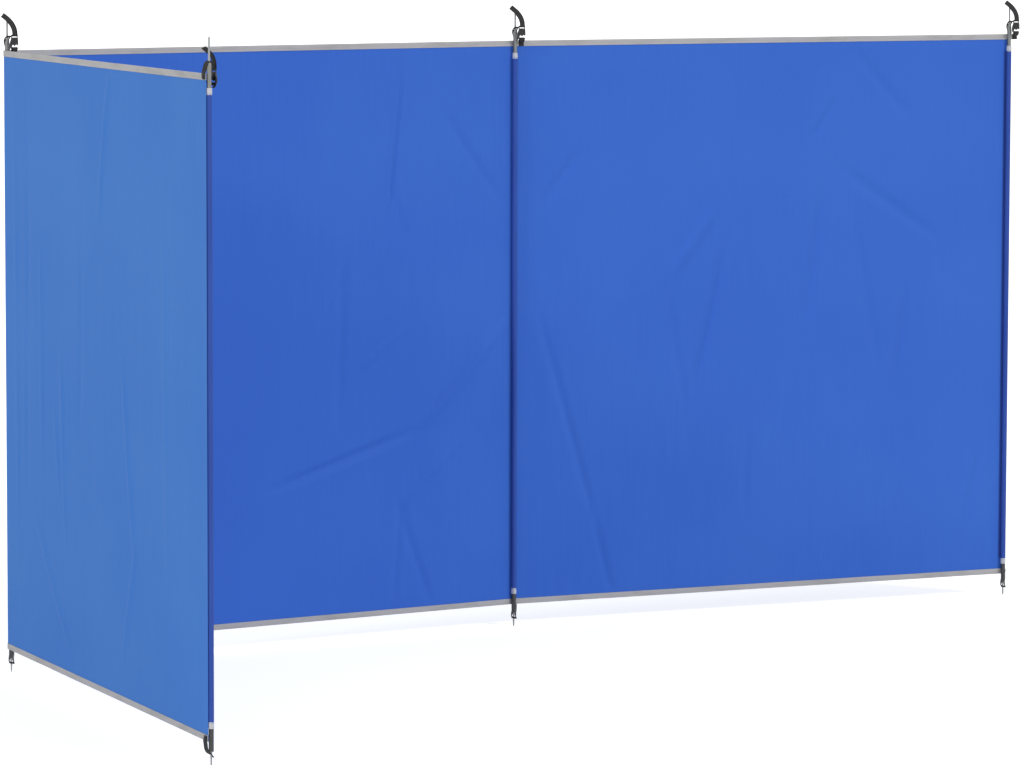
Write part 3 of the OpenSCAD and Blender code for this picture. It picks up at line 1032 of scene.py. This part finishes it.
def rolled_ring(centre, up, inner, outer, thick):
    """A rolled metal eyelet about a centre, whose hole looks along up."""
    up = up.normalized()
    side = up.cross(Vector((1, 0, 0))).normalized()
    front = side.cross(up)
    around, roll = 40, 12
    middle, wide = (inner + outer) / 2, (outer - inner) / 2
    points, cuts = [], []
    for k in range(around):
        turn = TURN * k / around
        radial = front * math.cos(turn) + side * math.sin(turn)
        for j in range(roll):
            lean = TURN * j / roll
            spot = centre + radial * (middle + wide * math.cos(lean)) + up * (thick * math.sin(lean))
            points.append(tuple(spot))
            cuts.append((turn * middle, lean * wide, 0.0))
    return points, hoop(around, roll), cuts


# %% [markdown]
# ## Holes for the pins
# The top and foot straps each have a rolled eyelet that the pin passes through. The band is
# woven first, then one Boolean cuts the hole square to its face, and the eyelet is set in it.

# %% Cut a hole and set the eyelet
MM = 0.001


def knots_mm(base_z, rows):
    """Route knots given in millimetres about a pole, with heights from base_z."""
    return [((x * MM, y * MM, base_z + z * MM), face) for (x, y, z), face in rows]


def cut_hole(piece, centre, up, radius):
    """Cuts a round hole through a piece, along up."""
    bpy.ops.mesh.primitive_cylinder_add(vertices=40, radius=radius, depth=0.012, location=centre)
    punch = bpy.context.object
    punch.rotation_mode = "QUATERNION"
    punch.rotation_quaternion = up.to_track_quat("Z", "Y")
    cut_away(piece, punch)


def cut_away(piece, punch):
    """Takes a punch's shape out of a piece, and the punch out of the scene."""
    cutter = piece.modifiers.new("cut_away", "BOOLEAN")
    cutter.operation, cutter.object, cutter.solver = "DIFFERENCE", punch, "EXACT"
    settle(piece)
    bpy.data.objects.remove(punch)


def settle(piece):
    """Bakes a piece's modifiers into its mesh."""
    solved = bpy.context.evaluated_depsgraph_get()
    solved.update()
    mesh = bpy.data.meshes.new_from_object(piece.evaluated_get(solved))
    piece.modifiers.clear()
    piece.data = mesh


TAPE_FACE = TAPE_OUT / MM + STRAP_T / MM / 2 + 0.05
SHELTERED_FACE = TAPE_IN / MM - STRAP_T / MM / 2 - 0.05
AWAY, NEAR, RISE = (0, 1, 0), (0, -1, 0), (0, 0, 1)

SEWN_X = 7.0


def turned_in(start, way):
    """The sewn end of a strap: along the tape, turned back on itself; way is -1 down, 1 up."""
    return [
        ((SEWN_X, TAPE_FACE, start), NEAR), ((SEWN_X, TAPE_FACE, 10.5 * way), NEAR),
        ((SEWN_X, TAPE_FACE + 0.2, 12.0 * way), (0, -0.8, 0.6 * way)),
        ((SEWN_X, TAPE_FACE + 0.85, 12.7 * way), (0, 0, way)),
        ((SEWN_X, TAPE_FACE + 1.5, 12.0 * way), (0, 0.8, 0.6 * way)),
        ((SEWN_X, TAPE_FACE + 1.65, 10.5 * way), AWAY),
    ]


TAUT_STRAP = turned_in(-1.0, -1) + [
    ((7.0, TAPE_FACE + 1.6, 0.0), AWAY), ((6.2, TAPE_FACE + 0.6, 9.0), AWAY),
    ((3.4, 8.9, 18.0), (0, 0.95, 0.3)), ((0.6, 4.8, 25.0), (0, 0.8, 0.6)),
    ((0.0, 0.0, 30.0), (0, 0.72, 0.69)), ((1.0, -4.6, 33.6), (0, 0.5, 0.86)),
    ((6.2, -9.2, 35.4), (0, 0.2, 0.98)), ((12.5, -12.4, 37.9), (0, -0.4, 0.9)),
    ((12.5, -13.35, 36.2), NEAR),
]
SLACK_STRAP = turned_in(-1.0, -1) + [
    ((7.0, TAPE_FACE + 1.5, 0.0), (-0.1, 1, 0)), ((6.4, 9.2, 7.0), (-0.3, 0.95, 0.1)),
    ((4.6, 7.4, 14.5), (-0.4, 0.88, 0.15)), ((1.4, 5.0, 23.6), (-0.34, 0.66, 0.64)),
    ((0.0, 0.0, 26.9), (-0.15, 0, 1)), ((1.6, -4.8, 25.6), (-0.1, -0.45, 0.9)),
    ((7.0, -10.0, 20.0), (0.1, -0.9, 0.4)), ((12.1, -12.9, 12.0), (0.2, -0.97, 0.1)),
    ((12.5, -13.2, 7.6), (0.2, -0.98, 0)),
]
TAUT_TAIL = [
    ((12.5, -13.35, 38.6), NEAR), ((12.5, -13.4, 36.9), NEAR), ((12.5, -15.6, 35.45), RISE),
    ((12.5, -17.9, 37.2), AWAY), ((12.5, -18.0, 43.5), AWAY), ((11.4, -17.2, 52.0), (0, 1, -0.1)),
    ((7.8, -15.4, 62.0), (0, 1, -0.15)), ((1.6, -12.6, 71.8), (0, 1, -0.2)),
    ((-6.4, -8.8, 80.6), (0, 0.95, -0.3)), ((-15.2, -4.0, 88.4), (0, 0.9, -0.4)),
]
SLACK_TAIL = [
    ((12.5, -13.35, 9.6), (0.2, -0.98, 0)), ((12.5, -13.4, 7.9), (0.2, -0.98, 0)),
    ((12.5, -15.6, 6.45), RISE), ((12.7, -17.9, 8.2), (-0.2, 0.98, 0)),
    ((12.8, -18.0, 15.0), (-0.22, 0.97, 0)), ((12.8, -17.0, 24.0), (-0.3, 0.95, -0.1)),
    ((12.8, -14.2, 33.0), (-0.38, 0.9, -0.25)), ((12.8, -10.0, 40.5), (-0.45, 0.75, -0.45)),
    ((12.6, -3.8, 47.0), (-0.5, 0.65, -0.6)), ((12.0, 2.6, 52.4), (-0.52, 0.6, -0.6)),
    ((11.2, 8.8, 57.6), (-0.54, 0.6, -0.6)),
]
FOOT_STRAP = turned_in(2.0, 1) + [
    ((7.0, TAPE_FACE + 1.6, 1.0), AWAY), ((6.8, TAPE_FACE + 0.5, -8.0), AWAY),
    ((6.0, 10.0, -16.0), (0, 1, -0.1)), ((3.4, 7.2, -23.2), (0, 0.85, -0.5)),
    ((0.0, 0.4, -30.0), (0, 0.74, -0.67)), ((-0.9, -3.9, -34.3), (0, 0.74, -0.67)),
    ((-1.6, -6.0, -36.3), (0, 0.7, -0.72)),
]


def anchor_knots(drop):
    """The short strap from the tape to the buckle's lower bar and round it."""
    return [
        ((21.0, SHELTERED_FACE, -14.6), NEAR), ((20.8, SHELTERED_FACE, -5.5), NEAR),
        ((18.8, 2.5, -1.6 - 0.25 * drop), (0, -0.6, -0.8)),
        ((13.8, -8.0, 2.0 - 0.85 * drop), (0, -0.5, -0.86)),
        ((12.5, -13.2, 4.8 - drop), (0, -0.95, -0.3)), ((12.5, -13.9, 7.3 - drop), (0, -0.8, -0.6)),
        ((12.5, -15.6, 8.1 - drop), (0, 0, -1)), ((12.5, -17.8, 6.6 - drop), (0, 0.9, -0.4)),
        ((12.5, -18.0, 3.6 - drop), AWAY), ((12.5, -16.6, -0.4 - drop), (0, 0.9, 0.4)),
        ((12.5, -13.4, -3.4 - drop), (0, 0.75, 0.66)),
    ]


print("knots:", len(TAUT_STRAP), "over a taut pole,", len(FOOT_STRAP), "under it")

# %% [markdown]
# ## Straps at every pole
# The left end pole's strap has slipped, so its buckle hangs lower and the strap drops over the
# tube's end before it reaches it. The other three are pulled tight, with the buckle standing
# above the tape and the eyelet tilted up towards it.

# %% Straps, eyelets and the seams that hold them
SLIPPED = 29.0
TOP_HOLE, FOOT_HOLE = 4.1 * MM, 4.9 * MM
RING_OUT, RING_THICK = 7.6 * MM, 1.15 * MM
EYE_KNOT = 10  # the knot of a route that lies on the pin
ANCHOR_X = 21.0
BOX_W, BOX_H, BOX_IN = 9.5, 8.0, 6.5
SEAM_GAP, SEAM_Y = 3.0, TAPE_FACE + 2.32


def seam_box(pole, x, y, z, width, height, out_y):
    """A sewn box with a cross in it, where a strap is fixed to the tape."""
    corners = [(x - width / 2, z - height / 2), (x + width / 2, z - height / 2),
               (x + width / 2, z + height / 2), (x - width / 2, z + height / 2)]
    lines = list(zip(corners, corners[1:] + corners[:1])) + list(zip(corners[:2], corners[2:]))
    bead = ([], [], [])
    for (x0, z0), (x1, z1) in lines:
        count = max(2, round(math.hypot(x1 - x0, z1 - z0) / SEAM_GAP))
        start, end = Vector((x0, y, z0)) * MM, Vector((x1, y, z1)) * MM
        stitch_row(at_pole(pole), start, end, out_y, bead, count)
    return bead


def woven(pole, name, knots, node, hole=None, loose_ends=(False, False)):
    """One strap: the band, its hole if it has one, its place and its body."""
    points, faces, cuts, length = band_mesh(knots, loose_ends=loose_ends)
    strap = make_piece(pole + name, points, faces, cuts, [WEBBING])
    if hole:
        cut_hole(strap, *hole)
    strap.data.transform(at_pole(pole))
    dress(strap, STANDS[pole][0], "webbing", pole + node)
    return length


STRAP_THREAD = tape_finish("strap_thread", shade(44, 44, 46), shade(36, 36, 38))
for pole in POLES:
    body = STANDS[pole][0]
    slipped = pole == "left_end"
    drop = SLIPPED if slipped else 0.0
    place = at_pole(pole)
    over = knots_mm(EDGE_Z, SLACK_STRAP if slipped else TAUT_STRAP)
    top_eye, top_up = Vector(over[EYE_KNOT][0]), Vector(over[EYE_KNOT][1]).normalized()
    lengths = [woven(pole, "_tension_strap", over, "_top_strap", (top_eye, top_up, TOP_HOLE))]
    hold = knots_mm(EDGE_Z, anchor_knots(drop))
    lengths.append(woven(pole, "_buckle_anchor", hold, "_anchor_strap"))
    tail = knots_mm(EDGE_Z, SLACK_TAIL if slipped else TAUT_TAIL)
    lengths.append(woven(pole, "_free_tail", tail, "_strap_tail", loose_ends=(False, True)))
    under = knots_mm(HEM_Z, FOOT_STRAP)
    for k in (6, 7, 8, 9) if slipped else ():
        under[k] = (under[k][0], (under[k][1][0] - 0.32, *under[k][1][1:]))
    foot_eye, foot_up = Vector(under[EYE_KNOT][0]), -Vector(under[EYE_KNOT][1]).normalized()
    foot = (foot_eye, foot_up, FOOT_HOLE)
    lengths.append(woven(pole, "_foot_loop", under, "_foot_strap", foot, (False, True)))
    eyelets = join_shapes(
        rolled_ring(top_eye, top_up, TOP_HOLE, RING_OUT, RING_THICK),
        rolled_ring(foot_eye, foot_up, FOOT_HOLE, RING_OUT, RING_THICK),
    )
    dress(make_piece(pole + "_eyelets", *eyelets, [EYELET_BLACK], place), body, "webbing")
    high, low = EDGE_Z / MM, HEM_Z / MM
    seams = join_shapes(
        seam_box(pole, SEWN_X, SEAM_Y, high - BOX_IN, BOX_W, BOX_H, 1),
        seam_box(pole, ANCHOR_X, SHELTERED_FACE - 0.66, high - 9.8, BOX_W, 7.0, -1),
        seam_box(pole, SEWN_X, SEAM_Y, low + BOX_IN, BOX_W, BOX_H, 1),
    )
    dress(make_piece(pole + "_strap_seams", *seams, [STRAP_THREAD]), body, "webbing")
    print(pole, "straps, mm:", [round(length / MM) for length in lengths])

# %% [markdown]
# ## Ladder-lock buckles
# A ladder-lock grips the strap between a bar and a toothed edge. It is drawn as a flat outline,
# because that is how it is moulded: a tapered body with a tooth, a bowed arm down one side to the
# lower bar, which is open at its other end so that a sewn loop can be hooked on, and a thin
# frame round the upper slot. The outline is filled, given its thickness, and bevelled, and
# three grip ribs are added on the front.

# %% The buckle's outline and its moulded edges
BUCKLE_LOW = [(-8.4, 3.9), (8.6, 3.9), (9.0, 4.8), (8.6, 7.2), (-4.8, 7.4), (-7.0, 8.4), (-7.8, 10.0)]
TEETH = [(-7.2, 12.0), (-5.8, 13.9), (-4.4, 14.6), (-3.0, 14.1), (-1.5, 12.4), (0.0, 11.2),
         (1.5, 12.4), (3.0, 14.1), (4.4, 14.6), (6.2, 14.2), (8.0, 13.2), (9.5, 13.4)]
BODY_TOP = [(9.8, 16.0), (9.6, 26.0), (8.5, 30.6), (8.8, 39.0), (8.3, 39.5), (-8.3, 39.5),
            (-8.8, 39.0), (-8.5, 30.6), (-9.8, 26.5), (-11.8, 22.0), (-12.9, 17.0), (-12.9, 11.5),
            (-11.8, 7.4), (-10.2, 5.0)]
STRAP_SLOT = (15.4, 3.9, 34.35)
BUCKLE_HALF, RIB_FOOT = 1.6, -1.2


def moulded(outline, front, back):
    """A plate from an outline of x and z, between two depths, in millimetres."""
    draft = bmesh.new()
    rim = [draft.verts.new((x * MM, front * MM, z * MM)) for x, z in outline]
    face = draft.faces.new(rim)
    grown = bmesh.ops.extrude_face_region(draft, geom=[face])["geom"]
    for vert in (item for item in grown if isinstance(item, bmesh.types.BMVert)):
        vert.co.y = back * MM
    bmesh.ops.recalc_face_normals(draft, faces=draft.faces)
    mesh = bpy.data.meshes.new("moulded")
    draft.to_mesh(mesh)
    draft.free()
    plate = bpy.data.objects.new("moulded", mesh)
    STAGE.objects.link(plate)
    return plate


def rounded_edges(plate, width, segments=2):
    bevel = plate.modifiers.new("edges", "BEVEL")
    bevel.width, bevel.segments, bevel.limit_method = width * MM, segments, "ANGLE"
    bevel.angle_limit = math.radians(28)
    settle(plate)


def box_outline(x0, x1, z0, z1):
    return [(x0, z0), (x1, z0), (x1, z1), (x0, z1)]


def buckle_shape():
    """One buckle about its pole, with heights from the cloth's upper edge."""
    plate = moulded(BUCKLE_LOW + TEETH + BODY_TOP, -BUCKLE_HALF, BUCKLE_HALF)
    wide, tall, middle = STRAP_SLOT
    slot = moulded(box_outline(-wide / 2, wide / 2, middle - tall / 2, middle + tall / 2), -4, 4)
    cut_away(plate, slot)
    rounded_edges(plate, 0.45)
    parts = [plate]
    ribs = [(5.6, height - 0.55, height + 0.55, -2.15, 0.3, 2) for height in (18.4, 21.4, 24.4)]
    lip = (6.6, 28.6, 31.4, -2.5, 0.6, 3)
    for half, z0, z1, front, bevel, segments in ribs + [lip]:
        parts.append(moulded(box_outline(-half, half, z0, z1), front, RIB_FOOT))
        rounded_edges(parts[-1], bevel, segments)
    joined = bmesh.new()
    for part in parts:
        joined.from_mesh(part.data)
        bpy.data.objects.remove(part)
    bmesh.ops.triangulate(joined, faces=[face for face in joined.faces if len(face.verts) > 4])
    mesh = bpy.data.meshes.new("buckle")
    joined.to_mesh(mesh)
    joined.free()
    mesh.materials.append(BUCKLE_BLACK)
    mesh.polygons.foreach_set("use_smooth", [True] * len(mesh.polygons))
    mesh.set_sharp_from_angle(angle=math.radians(35))
    return mesh


BUCKLE_X, BUCKLE_Y, SLIPPED_TURN = 12.5 * MM, -15.6 * MM, 12
moulding = buckle_shape()
for pole in POLES:
    slipped = pole == "left_end"
    place = at_pole(pole) @ Matrix.Translation((BUCKLE_X, BUCKLE_Y, EDGE_Z - slipped * SLIPPED * MM))
    mesh = moulding.copy()
    mesh.transform(place @ Matrix.Rotation(math.radians(SLIPPED_TURN * slipped), 4, "Z"))
    buckle = bpy.data.objects.new(pole + "_ladder_lock", mesh)
    STAGE.objects.link(buckle)
    dress(buckle, STANDS[pole][0], "buckle_plastic", pole + "_buckle")
print("buckle:", len(moulding.polygons), "faces, made once and placed", len(POLES), "times")

# %% [markdown]
# ## Floor and backdrop
# The windbreak stands on its ground pins on a wide white floor. The floor is a plain diffuse
# surface, so it keeps the soft shadow, with a little glow for the camera and for mirror-like
# surfaces, so that it reads as white paper. The world is white to the same rays and a little
# dimmer as a light.

# %% Floor
FLOOR_GLOW, FLOOR_SIZE = 0.52, 600
WHITE = (1.0, 1.0, 1.0, 1.0)


def floor_finish():
    finish = bpy.data.materials.new("white_floor")
    finish.use_nodes = True
    tree = finish.node_tree
    tree.nodes.clear()
    wire = Wire(tree)
    paper = wire.node("ShaderNodeBsdfDiffuse", {}, {"Color": (0.86, 0.86, 0.86, 1.0)})
    glow = wire.node("ShaderNodeEmission", {}, {"Color": WHITE, "Strength": FLOOR_GLOW})
    both = wire.node("ShaderNodeAddShader", {}, {0: paper, 1: glow})
    surface = wire.node("ShaderNodeMixShader", {}, {0: wire.seen_straight(), 1: paper, 2: both})
    end = tree.nodes.new("ShaderNodeOutputMaterial")
    tree.links.new(surface.socket, end.inputs["Surface"])
    return finish


bpy.ops.mesh.primitive_plane_add(size=FLOOR_SIZE, location=(0, 0, 0))
floor = bpy.context.object
floor.name = "floor"
floor.data.materials.append(floor_finish())
floor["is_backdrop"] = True

# %% [markdown]
# ## Light
# Plain soft light: a white world fills every side, and two broad suns graze the cloth so that
# its waves show. One reaches the sheltered faces of the two long bays from the right, and the
# other the windward face of the left bay. Together they light a surface at about the level at
# which a colour comes out as it was written.

# %% World and lamps
WORLD_LIGHT = 0.62
world = bpy.data.worlds.new("white_world")
bpy.context.scene.world = world
world.use_nodes = True
sky = Wire(world.node_tree)
backdrop = world.node_tree.nodes["Background"]
backdrop.inputs["Color"].default_value = WHITE
strength = WORLD_LIGHT + sky.seen_straight() * (1.0 - WORLD_LIGHT)
world.node_tree.links.new(strength.socket, backdrop.inputs["Strength"])


SUN_WIDTH = math.radians(10)


def sun(name, toward, strength):
    """A broad white sun that shines from a direction."""
    light = bpy.data.lights.new(name, "SUN")
    light.energy, light.angle = strength, SUN_WIDTH
    lamp = bpy.data.objects.new(name, light)
    lamp.rotation_mode = "QUATERNION"
    lamp.rotation_quaternion = Vector(toward).to_track_quat("Z", "Y")
    STAGE.objects.link(lamp)


sun("front_sun", (0.33, -0.78, 0.53), 1.15)
sun("side_sun", (-0.9, -0.1, 0.45), 0.92)

# %% [markdown]
# ## Camera
# A long lens from head height, well back and to the left, looking slightly down and across
# the middle bay. The place and the three angles are all it needs.

# %% Camera
STANDPOINT = Vector((-5.9978, -11.6277, 2.0281))
YAW, PITCH, ROLL = (math.radians(angle) for angle in (32.768, 5.6792, 0.1424))
LENS, SENSOR_W, FAR_END = 184.96, 36, 2000

ahead = Vector((math.sin(YAW) * math.cos(PITCH), math.cos(YAW) * math.cos(PITCH), -math.sin(PITCH)))
level = Vector((math.cos(YAW), -math.sin(YAW), 0))
upward = level.cross(ahead)
right = level * math.cos(ROLL) + upward * math.sin(ROLL)
upper = upward * math.cos(ROLL) - level * math.sin(ROLL)
eye = bpy.data.cameras.new("camera")
eye.lens, eye.sensor_width, eye.clip_end = LENS, SENSOR_W, FAR_END
camera = bpy.data.objects.new("camera", eye)
turned = Matrix((right, upper, -ahead)).transposed()
camera.matrix_world = Matrix.Translation(STANDPOINT) @ turned.to_4x4()
STAGE.objects.link(camera)
bpy.context.scene.camera = camera
bpy.context.scene.view_settings.view_transform = "Standard"

# %% [markdown]
# ## The dressed size
# Cloth may stand a little proud of the construction. The dressed windbreak's size is printed.

# %% Print the dressed size
low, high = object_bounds()
print("dressed size", [round(b - a, 3) for a, b in zip(low, high)], "m")
